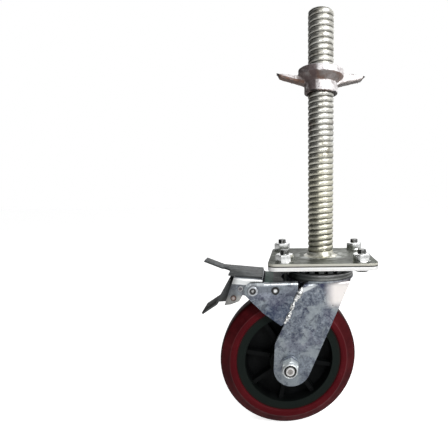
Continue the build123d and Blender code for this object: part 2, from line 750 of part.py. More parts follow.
def make_brake_arm():
    at = above_tyre(fulcrum_at)
    barrel_r = fulcrum_d / 2 + arm_barrel_wall
    root_x = at[0] - barrel_r / 2
    left = trace(Polyline([(arm_back_x, arm_line(arm_back_x)), (root_x, arm_line(root_x))]), arm_t)
    right_z = at[1] - barrel_r / 2
    elbow = [(at[0], right_z), (tongue_x, right_z), (tongue_x, tongue_root_z)]
    right = trace(FilletPolyline(*elbow, radius=arm_t), arm_t)
    body = side_slab(left, -arm_half_w, arm_half_w) + side_slab(right, -riser_half_w, riser_half_w)
    barrel_half_w = bracket_half_w - bracket_t - rest_gap
    body += lying_rod(2 * barrel_r, -barrel_half_w, barrel_half_w, at)
    tip_z = castor_plate_low - lock_h - rest_gap
    tongue_h = tip_z - tongue_root_z + arm_t
    body += Pos(tongue_x, 0, tip_z - tongue_h / 2) * Box(tongue_t, tongue_w, tongue_h)
    parts["brake_arm"] = body - across(fulcrum_d + 2 * run_gap, at)


def make_shoe():
    """A pad under the arm, hollowed so that it lies along the tyre at full stroke."""
    at = above_tyre(fulcrum_at)
    low = tyre_top - shoe_block_drop
    top = [(x, arm_line(x)) for x in (shoe_front_x, shoe_back_x)]
    outline = make_face(Polyline(top + [(shoe_back_x, low), (shoe_front_x, low)], close=True))
    block = side_slab(outline, -shoe_half_w, shoe_half_w)
    tyre_round = across(wheel_d + 2 * shoe_gap, (-fork_trail, axle_z))
    swing = Pos(at[0], 0, at[1]) * Rot(0, pedal_travel * brake_ratio, 0) * Pos(-at[0], 0, -at[1])
    parts["brake_shoe"] = block - swing * tyre_round - parts["brake_arm"]


makers = [make_stem, make_plates, make_bolts, make_wing_nut, make_swivel_head, make_lock_ring, make_fork]
makers += [make_wheel, make_axle, make_bracket, make_bracket_welds, make_pins, make_pedal]
makers += [make_release_plate, make_lock_lever, make_pedal_pins, make_brake_arm, make_shoe]
for make in makers:
    make()

os.makedirs("parts", exist_ok=True)
for name, shape in parts.items():
    export_step(shape, f"parts/{name}.step")
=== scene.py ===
from math import cos, radians, sin

import bpy
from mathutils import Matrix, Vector


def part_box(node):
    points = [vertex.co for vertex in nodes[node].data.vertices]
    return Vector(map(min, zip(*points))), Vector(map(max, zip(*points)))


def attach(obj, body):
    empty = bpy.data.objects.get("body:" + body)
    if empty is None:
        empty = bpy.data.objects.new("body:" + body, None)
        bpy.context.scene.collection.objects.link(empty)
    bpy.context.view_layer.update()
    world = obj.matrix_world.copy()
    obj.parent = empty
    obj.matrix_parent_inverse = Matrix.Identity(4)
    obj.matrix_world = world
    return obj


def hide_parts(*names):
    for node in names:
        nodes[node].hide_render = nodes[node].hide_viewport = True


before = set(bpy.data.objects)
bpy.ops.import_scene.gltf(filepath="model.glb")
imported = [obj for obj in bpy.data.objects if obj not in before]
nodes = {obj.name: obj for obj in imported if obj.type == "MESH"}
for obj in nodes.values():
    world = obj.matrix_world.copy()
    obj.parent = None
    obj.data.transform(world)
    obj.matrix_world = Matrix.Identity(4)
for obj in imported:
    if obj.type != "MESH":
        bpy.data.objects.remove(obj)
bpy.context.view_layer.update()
print("frame loaded,", len(nodes), "CAD nodes")

mm = 0.001

# Places that the CAD gives
stemLow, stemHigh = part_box("threaded_stem")
tyreLow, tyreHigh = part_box("tyre")
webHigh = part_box("brake_bracket")[1]
axleX = (tyreLow.x + tyreHigh.x) / 2
axleZ = tyreHigh.z - (tyreHigh.x - tyreLow.x) / 2
groundZ = tyreLow.z
pedalLow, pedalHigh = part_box("pedal")
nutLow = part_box("wing_nut")[0]
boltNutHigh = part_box("plate_nuts")[1]
ringLow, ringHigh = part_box("dust_ring")
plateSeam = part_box("base_plate")[0].z     # where the two plates meet
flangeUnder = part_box("castor_plate")[0].z


def middleOf(nodeName):
    # x and z of a pin that lies along Y
    low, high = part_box(nodeName)
    return ((low.x + high.x) / 2, (low.z + high.z) / 2)


# Selecting and finishing

def clearSelection():
    if bpy.context.object and bpy.context.object.mode != "OBJECT":
        bpy.ops.object.mode_set(mode="OBJECT")
    bpy.ops.object.select_all(action="DESELECT")


def editAll():
    bpy.ops.object.mode_set(mode="EDIT")
    bpy.ops.mesh.select_all(action="SELECT")


def endEdit():
    bpy.ops.object.mode_set(mode="OBJECT")


def makeActive(piece):
    clearSelection()
    piece.select_set(True)
    bpy.context.view_layer.objects.active = piece


def applyModifiers(piece):
    makeActive(piece)
    for modifier in list(piece.modifiers):
        bpy.ops.object.modifier_apply(modifier=modifier.name)


def smoothShade(piece, angle=35):
    makeActive(piece)
    bpy.ops.object.shade_smooth_by_angle(angle=radians(angle))


def settle(piece):
    # the object's place goes into its mesh
    makeActive(piece)
    bpy.ops.object.transform_apply(location=True, rotation=True, scale=True)


def outwardNormals(piece):
    makeActive(piece)
    editAll()
    bpy.ops.mesh.normals_make_consistent(inside=False)
    endEdit()


def joinPieces(pieces):
    clearSelection()
    for piece in pieces:
        piece.select_set(True)
    bpy.context.view_layer.objects.active = pieces[0]
    bpy.ops.object.join()
    return bpy.context.object


def dress(piece, finish, slot, body=None, *replaced):
    piece.data.materials.clear()
    piece.data.materials.append(finish)
    if body:
        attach(piece, body)
    if replaced:
        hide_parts(*replaced)


def profileStart(name, radius, height, angle=-90):
    # one vertex on the side at that angle, to be extruded into a profile
    bpy.ops.mesh.primitive_plane_add(size=mm)
    piece = bpy.context.object
    piece.name = name
    editAll()
    bpy.ops.mesh.merge(type="CENTER")
    bpy.ops.transform.translate(value=(radius * cos(radians(angle)), radius * sin(radians(angle)), height))
    return piece


def lathe(name, points, steps, centre, axis):
    # a closed profile of (radius, along) points, turned about an axis through centre
    clearSelection()
    piece = profileStart(name, 0, 0)
    place = [Vector((r, 0, along)) for r, along in points]
    bpy.ops.transform.translate(value=place[0])
    for here, there in zip(place, place[1:]):
        bpy.ops.mesh.extrude_region_move(TRANSFORM_OT_translate={"value": there - here})
    bpy.ops.mesh.select_all(action="SELECT")
    bpy.ops.mesh.edge_face_add()
    bpy.ops.mesh.delete(type="ONLY_FACE")
    endEdit()
    turn = piece.modifiers.new("turn", "SCREW")
    turn.steps = turn.render_steps = steps
    turn.use_merge_vertices = True
    turn.merge_threshold = 0.01 * mm
    applyModifiers(piece)
    if axis == "Y":
        piece.rotation_euler = (radians(-90), 0, 0)
    piece.location = centre
    settle(piece)
    outwardNormals(piece)
    return piece


def softCopy(nodeName, bevelWidth, segments=2, angle=30):
    # the CAD node's own shape with its edges broken
    clearSelection()
    piece = nodes[nodeName].copy()
    piece.data = nodes[nodeName].data.copy()
    piece.name = nodeName + "_edged"
    for key in list(piece.keys()):
        del piece[key]
    piece.parent = None
    bpy.context.scene.collection.objects.link(piece)
    makeActive(piece)
    bpy.ops.mesh.customdata_custom_splitnormals_clear()
    editAll()
    bpy.ops.mesh.remove_doubles(threshold=0.002 * mm)
    bpy.ops.mesh.dissolve_limited(angle_limit=radians(0.5))
    endEdit()
    if bevelWidth:
        edge = piece.modifiers.new("edge", "BEVEL")
        edge.width = bevelWidth
        edge.segments = segments
        edge.limit_method = "ANGLE"
        edge.angle_limit = radians(angle)
        edge.use_clamp_overlap = True
        edge.harden_normals = False
        applyModifiers(piece)
    smoothShade(piece, angle)
    return piece


# Node trees

def startMaterial(name):
    material = bpy.data.materials.new(name)
    material.use_nodes = True
    tree = material.node_tree
    return material, tree, tree.nodes["Principled BSDF"]


def objectPlace(tree, stretch=(1, 1, 1), shift=(0, 0, 0)):
    coords = tree.nodes.new("ShaderNodeTexCoord")
    mapping = tree.nodes.new("ShaderNodeMapping")
    mapping.inputs["Scale"].default_value = stretch
    mapping.inputs["Location"].default_value = shift
    tree.links.new(coords.outputs["Object"], mapping.inputs["Vector"])
    return mapping.outputs["Vector"]


def noise(tree, scale, detail=4, rough=0.55, warp=0.0, stretch=(1, 1, 1), shift=(0, 0, 0)):
    texture = tree.nodes.new("ShaderNodeTexNoise")
    texture.inputs["Scale"].default_value = scale
    texture.inputs["Detail"].default_value = detail
    texture.inputs["Roughness"].default_value = rough
    texture.inputs["Distortion"].default_value = warp
    tree.links.new(objectPlace(tree, stretch, shift), texture.inputs["Vector"])
    return texture.outputs["Fac"]


def ramp(tree, factor, stops):
    table = tree.nodes.new("ShaderNodeValToRGB")
    while len(table.color_ramp.elements) < len(stops):
        table.color_ramp.elements.new(0.5)
    for element, (position, colour) in zip(table.color_ramp.elements, stops):
        element.position = position
        element.color = (*colour, 1)
    tree.links.new(factor, table.inputs["Fac"])
    return table.outputs["Color"]


def grey(value):
    return (value, value, value)


def mixColours(tree, factor, first, second, blend="MIX"):
    mix = tree.nodes.new("ShaderNodeMix")
    mix.data_type = "RGBA"
    mix.blend_type = blend
    for socket, value in ((mix.inputs[0], factor), (mix.inputs[6], first), (mix.inputs[7], second)):
        if isinstance(value, bpy.types.NodeSocket):
            tree.links.new(value, socket)
        else:
            socket.default_value = (*value, 1) if isinstance(value, tuple) else value
    return mix.outputs[2]


def calculate(tree, operation, first, second=0.0):
    step = tree.nodes.new("ShaderNodeMath")
    step.operation = operation
    for socket, value in ((step.inputs[0], first), (step.inputs[1], second)):
        if isinstance(value, bpy.types.NodeSocket):
            tree.links.new(value, socket)
        else:
            socket.default_value = value
    return step.outputs[0]


def rangeOf(tree, value, low, high, fromValue=0.0, toValue=1.0):
    table = tree.nodes.new("ShaderNodeMapRange")
    table.interpolation_type = "SMOOTHSTEP"
    table.inputs["From Min"].default_value = low
    table.inputs["From Max"].default_value = high
    table.inputs["To Min"].default_value = fromValue
    table.inputs["To Max"].default_value = toValue
    tree.links.new(value, table.inputs["Value"])
    return table.outputs["Result"]


def product(tree, *values):
    result = values[0]
    for value in values[1:]:
        result = calculate(tree, "MULTIPLY", result, value)
    return result


def bandOf(tree, value, low, high, soft):
    # 1 between low and high, and nothing past soft outside them
    return product(tree, rangeOf(tree, value, low - soft, low), rangeOf(tree, value, high + soft, high))


def facing(tree):
    # which way the surface looks, along the object's own X, Y and Z
    coords = tree.nodes.new("ShaderNodeTexCoord")
    apart = tree.nodes.new("ShaderNodeSeparateXYZ")
    tree.links.new(coords.outputs["Normal"], apart.inputs["Vector"])
    return apart.outputs["X"], apart.outputs["Y"], apart.outputs["Z"]


def placeParts(tree, shift=(0, 0, 0)):
    apart = tree.nodes.new("ShaderNodeSeparateXYZ")
    tree.links.new(objectPlace(tree, shift=shift), apart.inputs["Vector"])
    return apart.outputs["X"], apart.outputs["Y"], apart.outputs["Z"]


def distance(tree, first, second):
    squares = [calculate(tree, "MULTIPLY", value, value) for value in (first, second)]
    return calculate(tree, "SQRT", calculate(tree, "ADD", *squares))


def roughen(tree, shader, height, strength, depth):
    bump = tree.nodes.new("ShaderNodeBump")
    bump.inputs["Strength"].default_value = strength
    bump.inputs["Distance"].default_value = depth
    tree.links.new(height, bump.inputs["Height"])
    tree.links.new(bump.outputs["Normal"], shader.inputs["Normal"])


def finishWith(tree, shader, colour, roughness, metallic, specular=None):
    tree.links.new(colour, shader.inputs["Base Color"])
    if isinstance(roughness, bpy.types.NodeSocket):
        tree.links.new(roughness, shader.inputs["Roughness"])
    else:
        shader.inputs["Roughness"].default_value = roughness
    shader.inputs["Metallic"].default_value = metallic
    if specular is not None:
        shader.inputs["Specular IOR Level"].default_value = specular


# Finishes

def tones(tree, factor, look, **shares):
    # a ramp through the look's named tones, each at its share
    return ramp(tree, factor, [(share, look[name]) for name, share in shares.items()])


def tint(tree, colour, tone, share, *masks):
    # the tone over the colour, as strong as share where every mask is 1
    factor = product(tree, *masks, share) if masks else share
    return mixColours(tree, factor, colour, tone)


def roughnessOf(tree, scale, look):
    return ramp(tree, noise(tree, scale, 3), [(0.3, grey(look["smooth"])), (0.7, grey(look["dull"]))])


def added(tree, first, second):
    return calculate(tree, "ADD", first, second)


def less(tree, first, second):
    return calculate(tree, "SUBTRACT", first, second)


def unsigned(tree, value):
    return calculate(tree, "ABSOLUTE", value)


def spotMask(tree, x, z, centre, reach):
    return rangeOf(tree, distance(tree, less(tree, x, centre[0]), less(tree, z, centre[1])), *reach)


def streakMask(tree, x, z, centre, slope, length, width):
    # a short slanting stroke: length and width are where it ends and where it is full
    dx, dz = less(tree, x, centre[0]), less(tree, z, centre[1])
    cosine, sine = slope
    along = unsigned(tree, added(tree, product(tree, dx, cosine), product(tree, dz, sine)))
    across = unsigned(tree, less(tree, product(tree, dz, cosine), product(tree, dx, sine)))
    return product(tree, rangeOf(tree, along, *length), rangeOf(tree, across, *width))


zincLook = {
    "dark": (0.034, 0.039, 0.072),
    "middle": (0.112, 0.130, 0.165),
    "light": (0.225, 0.255, 0.300),
    "bright": (0.44, 0.47, 0.49),
    "lilac": (0.145, 0.140, 0.195),
    "pale": (0.33, 0.37, 0.39),
    "fold": (0.86, 0.90, 0.92),    # painted highlight along the bends
    "grainScale": 300.0,
    "cloudScale": 75.0,
    "lilacScale": 28.0,
    "paleScale": 36.0,
    "navyScale": 95.0,
    "smooth": 0.26,
    "dull": 0.44,
    "metallic": 0.6,
}


def zincTree(name, grainShare=0.5, shift=(0.0, 0.0, 0.0)):
    look = zincLook
    material, tree, shader = startMaterial(name)
    grain = noise(tree, look["grainScale"], 5, 0.62, 0.5, shift=shift)
    clouds = noise(tree, look["cloudScale"], 4, 0.6, 0.9, shift=shift)
    blend = added(tree, product(tree, grain, grainShare), product(tree, clouds, 1 - grainShare))
    colour = tones(tree, blend, look, dark=0.38, middle=0.46, light=0.56, bright=0.70)
    lilac = noise(tree, look["lilacScale"], 3, 0.5, shift=(0.7, 0.2, 0.1))
    colour = tint(tree, colour, look["lilac"], 0.35, rangeOf(tree, lilac, 0.50, 0.62))
    pale = noise(tree, look["paleScale"], 4, 0.6, 0.6, shift=(0.25, 0.9, 0.55))
    colour = tint(tree, colour, look["pale"], 0.7, rangeOf(tree, pale, 0.47, 0.60))
    navy = noise(tree, look["navyScale"], 4, 0.65, 0.7, shift=(0.6, 0.15, 0.35))
    colour = tint(tree, colour, look["dark"], 0.6, rangeOf(tree, navy, 0.56, 0.64))
    roughen(tree, shader, noise(tree, 650, 3), 0.25, 0.2 * mm)
    return material, tree, shader, colour, roughnessOf(tree, 190, look)


def makeZinc():
    material, tree, shader, colour, roughness = zincTree("mottled_zinc")
    finishWith(tree, shader, colour, roughness, zincLook["metallic"])
    return material


forkMarks = {
    "pale": (0.26, 0.30, 0.335),
    "paleBelow": (-0.37, -0.43),      # the leg pales over this height
    "smudge": (0.035, 0.040, 0.095),  # painted shadow of the crown on the leg, bluish
    "smudgePlace": (-0.001, -0.3075),
    "smudgeReach": (8.5 * mm, 3 * mm),
    "streakPlace": (-0.0215, -0.3115),   # painted highlight, a bright stroke on the back shoulder
    "streakSlope": (0.90, 0.436),
    "streakLength": (13 * mm, 7 * mm),
    "streakWidth": (4.2 * mm, 1.8 * mm),
    "gap": (0.006, 0.006, 0.006),     # painted shade in the dark corner behind the shoulder
    "gapSlope": 0.75,
    "gapHeight": -0.300,
    "gapFrom": (-21 * mm, -23.5 * mm),
    "gapAbove": (-0.318, -0.313),
    "rubbed": (0.95, 0.90, 0.87),     # painted highlight, a bright glare patch on the front edge
    "rubbedFrom": (-0.002, 0.018),
    "rubbedHeight": (-0.331, -0.312),
    "rubbedFade": 15 * mm,
}


def makeForkZinc():
    marks = forkMarks
    material, tree, shader, colour, roughness = zincTree("fork_zinc")
    x, _, z = placeParts(tree)
    colour = tint(tree, colour, marks["pale"], 0.22, rangeOf(tree, z, *marks["paleBelow"]))
    # painted shadow of the crown falling on the leg
    smudge = spotMask(tree, x, z, marks["smudgePlace"], marks["smudgeReach"])
    colour = tint(tree, colour, marks["smudge"], 0.8, smudge)
    # painted highlight: a bright stroke on the back shoulder
    streak = streakMask(tree, x, z, marks["streakPlace"], marks["streakSlope"], marks["streakLength"],
                        marks["streakWidth"])
    colour = tint(tree, colour, zincLook["fold"], 0.75, streak)
    # painted shade in the corner behind the shoulder
    gap = less(tree, x, product(tree, less(tree, z, marks["gapHeight"]), marks["gapSlope"]))
    colour = tint(tree, colour, marks["gap"], 0.95, rangeOf(tree, gap, *marks["gapFrom"]),
                  rangeOf(tree, z, *marks["gapAbove"]))
    # painted highlight: the glare patch on the front edge
    height = bandOf(tree, z, *marks["rubbedHeight"], marks["rubbedFade"])
    colour = tint(tree, colour, marks["rubbed"], 0.94, rangeOf(tree, x, *marks["rubbedFrom"]), height)
    finishWith(tree, shader, colour, roughness, zincLook["metallic"])
    return material


bracketMarks = {
    "upper": (0.29, 0.325, 0.35),
    "lower": (0.065, 0.090, 0.155),
    "stain": (0.030, 0.032, 0.052),
    "stainScale": 52.0,
    # painted shade: the flat top under the plate, nearly black
    "top": (0.003, 0.008, 0.0075),
    "teal": (0.020, 0.120, 0.085),    # teal spot on the dark top
    "tealBand": (-0.082, -0.073, 3 * mm),
    # depths in mm from the top, from where a tone starts to where it is full
    "topDepth": (1.3, 0.5),
    "bandDepth": ((7.0, 3.5), (0.4, 1.2)),
    "upperDepth": (26, 8),
    "lowerDepth": (24, 50),
    "specular": 0.03,
    "metallic": 0.6,
}


def makeBracketZinc():
    # painted highlight: a bright band along the fold; painted shade: the flat top nearly black
    marks = bracketMarks
    material, tree, shader, colour, roughness = zincTree("bracket_zinc", 0.5, (0.21, 0.03, 0.4))
    x, _, z = placeParts(tree)
    depth = product(tree, less(tree, z, webHigh.z), -1 / mm)
    # painted highlight along the fold
    band = [rangeOf(tree, depth, *span) for span in marks["bandDepth"]]
    colour = tint(tree, colour, zincLook["fold"], 0.9, *band)
    colour = tint(tree, colour, marks["lower"], 0.4, rangeOf(tree, depth, *marks["lowerDepth"]))
    colour = tint(tree, colour, marks["upper"], 0.5, rangeOf(tree, depth, *marks["upperDepth"]))
    stain = noise(tree, marks["stainScale"], 4, 0.6, 0.8, shift=(0.3, 0.6, 0.2))
    colour = tint(tree, colour, marks["stain"], 0.5, rangeOf(tree, stain, 0.52, 0.62))
    # painted shade on the flat top
    top = rangeOf(tree, depth, *marks["topDepth"])
    colour = tint(tree, colour, marks["top"], 0.98, top)
    teal = bandOf(tree, x, *marks["tealBand"])
    colour = tint(tree, colour, marks["teal"], 0.9, top, teal)
    finishWith(tree, shader, colour, roughness, marks["metallic"], marks["specular"])
    tree.links.new(rangeOf(tree, top, 0.0, 1.0, marks["metallic"], 0.0), shader.inputs["Metallic"])
    return material


pedalMarks = {
    "grey": (0.145, 0.145, 0.155),
    "foot": (0.50, 0.49, 0.46),
    "footHeight": (16 * mm, 8 * mm),
    "fold": (0.95, 0.97, 0.97),
    "foldStart": -0.086,
    "foldSlope": 0.105,
    "foldDepth": (13.0 * mm, 6.0 * mm),
    "foldFade": 1.6 * mm,
    "back": (0.05, 0.05, 0.048),
    "backFrom": (-0.119, -0.127),
    "metallic": 0.5,
}


def makePedalZinc():
    # grey flange, paler at its foot, and a painted highlight: a bright band along the fold
    marks = pedalMarks
    material, tree, shader, colour, roughness = zincTree("pedal_zinc", 0.7, (0.1, 0.33, 0.12))
    x, _, z = placeParts(tree)
    colour = tint(tree, colour, marks["grey"], 0.35)
    foot = [pedalLow.z + height for height in marks["footHeight"]]
    colour = tint(tree, colour, marks["foot"], 0.7, rangeOf(tree, z, *foot))
    # painted highlight along the fold
    height = added(tree, z, product(tree, less(tree, x, marks["foldStart"]), marks["foldSlope"]))
    low, high = [pedalHigh.z - depth for depth in marks["foldDepth"]]
    colour = tint(tree, colour, marks["fold"], 0.95, bandOf(tree, height, low, high, marks["foldFade"]))
    colour = tint(tree, colour, marks["back"], 0.45, rangeOf(tree, x, *marks["backFrom"]))
    finishWith(tree, shader, colour, roughness, marks["metallic"])
    return material


stemLook = {
    "crest": (0.53, 0.52, 0.475),
    "bright": (0.78, 0.775, 0.72),
    "stain": (0.27, 0.25, 0.20),
    "root": (0.085, 0.082, 0.068),
    "rust": (0.10, 0.045, 0.028),
    "cream": (0.74, 0.715, 0.55),
    "creamBelow": (-0.09, -0.17),
    "rustHeight": (-0.085, -0.034, 12 * mm),
    "rustSides": (12.5 * mm, 17.5 * mm),
    "rootToCrest": (17.7 * mm, 18.35 * mm),
    "smooth": 0.24,
    "dull": 0.42,
    "metallic": 0.92,
}


def makeStemSteel():
    # pale where the nut runs, creamier lower down, with rust on the flanks under the nut
    look = stemLook
    material, tree, shader = startMaterial("galvanised_thread")
    x, y, z = placeParts(tree)
    crest = tones(tree, noise(tree, 62, 5, 0.65, 0.5), look, stain=0.32, crest=0.46, bright=0.64)
    crest = tint(tree, crest, look["cream"], 0.55, rangeOf(tree, z, *look["creamBelow"]))
    rust = ramp(tree, noise(tree, 34, 4, shift=(0.4, 0.2, 0.7)), [(0.50, grey(0)), (0.64, grey(0.85))])
    flank = rangeOf(tree, unsigned(tree, x), *look["rustSides"])
    height = bandOf(tree, z, *look["rustHeight"])
    crest = tint(tree, crest, look["rust"], 1.0, rust, flank, height)
    # painted shade in the thread roots, darkest at the root radius
    depth = rangeOf(tree, distance(tree, x, y), *look["rootToCrest"])
    colour = mixColours(tree, depth, look["root"], crest)
    roughen(tree, shader, noise(tree, 600, 4), 0.3, 0.25 * mm)
    finishWith(tree, shader, colour, roughnessOf(tree, 220, look), look["metallic"])
    return material


plateLook = {
    "dark": (0.048, 0.050, 0.040),
    "middle": (0.095, 0.103, 0.084),
    "light": (0.20, 0.21, 0.185),
    # painted highlights on the plates' upright edges
    "edge": (0.58, 0.57, 0.50),
    "lowEdge": (0.94, 0.94, 0.93),
    "seam": (0.018, 0.017, 0.013),
    "shine": (0.72, 0.74, 0.72),      # painted sheen round the stem's foot
    "shineReach": (44 * mm, 24 * mm),
    "smooth": 0.4,
    "dull": 0.6,
    "specular": 0.12,
    "metallic": 0.3,
}


def makePlateSteel():
    # both plates: olive-grey faces, painted highlights on the upright edges, a dark seam where they meet
    look = plateLook
    material, tree, shader = startMaterial("galvanised_plate")
    x, y, z = placeParts(tree)
    clouds, grain = noise(tree, 42, 5, 0.6, 0.8), noise(tree, 260, 4, 0.6)
    blotch = added(tree, product(tree, clouds, 0.6), product(tree, grain, 0.4))
    colour = tones(tree, blotch, look, dark=0.40, middle=0.50, light=0.60)
    # painted sheen on the plate round the stem's foot
    shine = rangeOf(tree, noise(tree, 48, 3, 0.5, 1.2), 0.45, 0.58)
    near = rangeOf(tree, distance(tree, x, y), *look["shineReach"])
    colour = tint(tree, colour, look["shine"], 0.7, near, shine)
    # painted highlight on the upright edges, brighter on the lower plate
    lower = rangeOf(tree, z, plateSeam, plateSeam - 0.4 * mm)
    edge = mixColours(tree, lower, look["edge"], look["lowEdge"])
    upright = rangeOf(tree, unsigned(tree, facing(tree)[2]), 0.85, 0.45)
    colour = tint(tree, colour, edge, 0.92, upright)
    seam = bandOf(tree, z, plateSeam - 0.6 * mm, plateSeam + 0.5 * mm, 0.4 * mm)
    colour = tint(tree, colour, look["seam"], 1.0, upright, seam)
    roughen(tree, shader, noise(tree, 450, 4), 0.25, 0.25 * mm)
    finishWith(tree, shader, colour, roughnessOf(tree, 130, look), look["metallic"], look["specular"])
    return material


ringLook = {
    # share of the dust ring's height, from its foot up, and the tone there: painted highlights on the lit
    # lip and edges, painted shadow lines between them
    "bands": [(0.0, grey(0.05)), (0.10, (0.36, 0.37, 0.36)), (0.24, (0.17, 0.175, 0.17)),
              (0.44, (0.12, 0.125, 0.118)), (0.50, grey(0.02)), (0.58, (0.26, 0.265, 0.26)),
              (0.76, (0.20, 0.205, 0.20)), (0.88, (0.82, 0.83, 0.83)), (0.93, grey(0.03))],
    # painted shade, darker towards -X
    "grease": (0.022, 0.028, 0.028),
    "greaseFrom": (0.004, -0.034),
    "roughness": 0.34,
    "metallic": 0.6,
}


def makeRingSteel():
    # dust ring and races of turned steel, with painted highlights and painted shadow lines running round
    # them in bands
    look = ringLook
    material, tree, shader = startMaterial("greased_ring_steel")
    x, _, z = placeParts(tree)
    bands = ramp(tree, rangeOf(tree, z, ringLow.z, ringHigh.z), look["bands"])
    grime = ramp(tree, noise(tree, 70, 4, 0.6, 0.6), [(0.40, grey(0.55)), (0.62, grey(1.0))])
    colour = mixColours(tree, 1.0, bands, grime, "MULTIPLY")
    # painted shade on the -X side
    colour = tint(tree, colour, look["grease"], 0.85, rangeOf(tree, x, *look["greaseFrom"]))
    roughen(tree, shader, noise(tree, 500, 3), 0.12, 0.15 * mm)
    finishWith(tree, shader, colour, look["roughness"], look["metallic"])
    return material


nutLook = {
    "bright": (0.82, 0.79, 0.795),
    "pale": (0.44, 0.41, 0.41),
    "grey": (0.20, 0.18, 0.17),
    "mauve": (0.33, 0.27, 0.26),
    "brown": (0.135, 0.062, 0.034),
    "murk": (0.10, 0.075, 0.065),
    "plum": (0.115, 0.080, 0.078),
    "wing": (0.42, 0.37, 0.35),
    "wingTop": (0.17, 0.12, 0.12),
    "black": (0.012, 0.010, 0.009),
    "wingFoot": -22.5 * mm,           # the wings' underside at the hub
    "wingSlope": 0.231,
    "belly": (4.6 * mm, 2.9 * mm),    # height of the brown stain and painted shade over it, left and right
    "wingsFrom": (23 * mm, 27 * mm),  # distances from the stem's axis
    "topsFrom": (25 * mm, 30 * mm),
    "endsFrom": (60 * mm, 62 * mm),
    # painted shade on the left side
    "leftStain": ((-7 * mm, -12 * mm), (-38 * mm, -32 * mm)),
    "lowRim": (3.2 * mm, 1.4 * mm),
    "smooth": 0.34,
    "dull": 0.58,
    "metallic": 0.35,
}


def makeCastZinc():
    # rim, tops and hub pale; undersides stained brown and darkened as painted shade; painted shade on the
    # left side, under the wings, on the wing ends and along the low rim
    look = nutLook
    material, tree, shader = startMaterial("cast_galvanised")
    x, _, z = placeParts(tree)
    up = facing(tree)[2]
    out = unsigned(tree, x)
    colour = tones(tree, noise(tree, 120, 5, 0.62, 0.8), look, pale=0.36, bright=0.48)
    # brown staining on the downward faces, partly painted shade
    stain = noise(tree, 46, 4, 0.6, 0.6, shift=(0.13, 0.5, 0.3))
    stain = tones(tree, stain, look, brown=0.42, grey=0.56, mauve=0.68)
    colour = tint(tree, colour, stain, 0.92, rangeOf(tree, up, -0.12, -0.38))
    # painted shade on the nut's left side
    left = product(tree, *[rangeOf(tree, x, *span) for span in look["leftStain"]])
    patchy = rangeOf(tree, noise(tree, 75, 4, 0.6), 0.30, 0.44)
    colour = tint(tree, colour, look["plum"], 0.9, left, rangeOf(tree, up, 0.75, 0.4), patchy)
    wings = rangeOf(tree, out, *look["wingsFrom"])
    colour = tint(tree, colour, look["wing"], 0.25, wings)
    right = rangeOf(tree, x, -2 * mm, 2 * mm)
    # brown stain and painted shade under the wings, greyer on the lit right
    leftTop, rightTop = [look["wingFoot"] + height for height in look["belly"]]
    bellyTop = rangeOf(tree, right, 0.0, 1.0, leftTop, rightTop)
    height = less(tree, z, product(tree, less(tree, out, 22 * mm), look["wingSlope"]))
    height = added(tree, height, product(tree, less(tree, noise(tree, 210, 3), 0.5), 3 * mm))
    belly = rangeOf(tree, less(tree, height, bellyTop), 0.3 * mm, -0.5 * mm)
    tone = mixColours(tree, right, look["brown"], look["grey"])
    tone = tint(tree, tone, look["murk"], 0.6, rangeOf(tree, noise(tree, 130, 3, 0.6), 0.44, 0.56))
    colour = tint(tree, colour, tone, 0.95, belly, wings)
    tops = rangeOf(tree, out, *look["topsFrom"])
    colour = tint(tree, colour, look["wingTop"], 0.75, rangeOf(tree, up, 0.35, 0.7), tops)
    specks = ramp(tree, noise(tree, 330, 3, 0.7), [(0.60, grey(0)), (0.68, grey(0.8))])
    colour = mixColours(tree, specks, colour, look["plum"])
    # painted shade: the wing ends black
    colour = tint(tree, colour, look["black"], 0.93, rangeOf(tree, out, *look["endsFrom"]))
    # painted shade: a broken black line along the low rim
    lowRim = rangeOf(tree, z, *[nutLow.z + height for height in look["lowRim"]])
    broken = rangeOf(tree, noise(tree, 60, 2), 0.42, 0.5)
    colour = tint(tree, colour, look["black"], 0.9, lowRim, broken)
    roughen(tree, shader, noise(tree, 300, 5, 0.65), 0.4, 0.4 * mm)
    finishWith(tree, shader, colour, roughnessOf(tree, 160, look), look["metallic"])
    return material


boltLook = {
    "grey": (0.62, 0.63, 0.62),
    "pale": (0.84, 0.85, 0.84),
    "bright": (0.93, 0.94, 0.93),
    "dark": (0.045, 0.045, 0.042),    # painted shade on the heads under the plates; the ends over the nuts dark too
    "smooth": 0.16,
    "dull": 0.32,
    "turning": 180.0,                 # marks of the tool, over the height
    "metallic": 1.0,
}


def makeBoltZinc():
    # bright hexagons; the bolts' heads under the plates darkened as painted shade, and their ends dark
    look = boltLook
    material, tree, shader = startMaterial("bright_zinc_bolts")
    z = placeParts(tree)[2]
    colour = tones(tree, noise(tree, 170, 4, 0.6), look, grey=0.32, pale=0.45, bright=0.62)
    # painted shade on the bolt heads under the plates
    heads = rangeOf(tree, z, flangeUnder + 0.1 * mm, flangeUnder - 0.1 * mm)
    colour = tint(tree, colour, look["dark"], 0.95, heads)
    ends = rangeOf(tree, z, boltNutHigh.z - 0.2 * mm, boltNutHigh.z + 0.5 * mm)
    colour = tint(tree, colour, look["dark"], 0.9, ends, rangeOf(tree, z, -0.2, -0.21))
    wave = tree.nodes.new("ShaderNodeTexWave")
    wave.bands_direction = "Z"
    wave.inputs["Scale"].default_value = look["turning"]
    tree.links.new(objectPlace(tree), wave.inputs["Vector"])
    roughen(tree, shader, wave.outputs["Fac"], 0.05, 0.3 * mm)
    finishWith(tree, shader, colour, roughnessOf(tree, 300, look), look["metallic"])
    return material


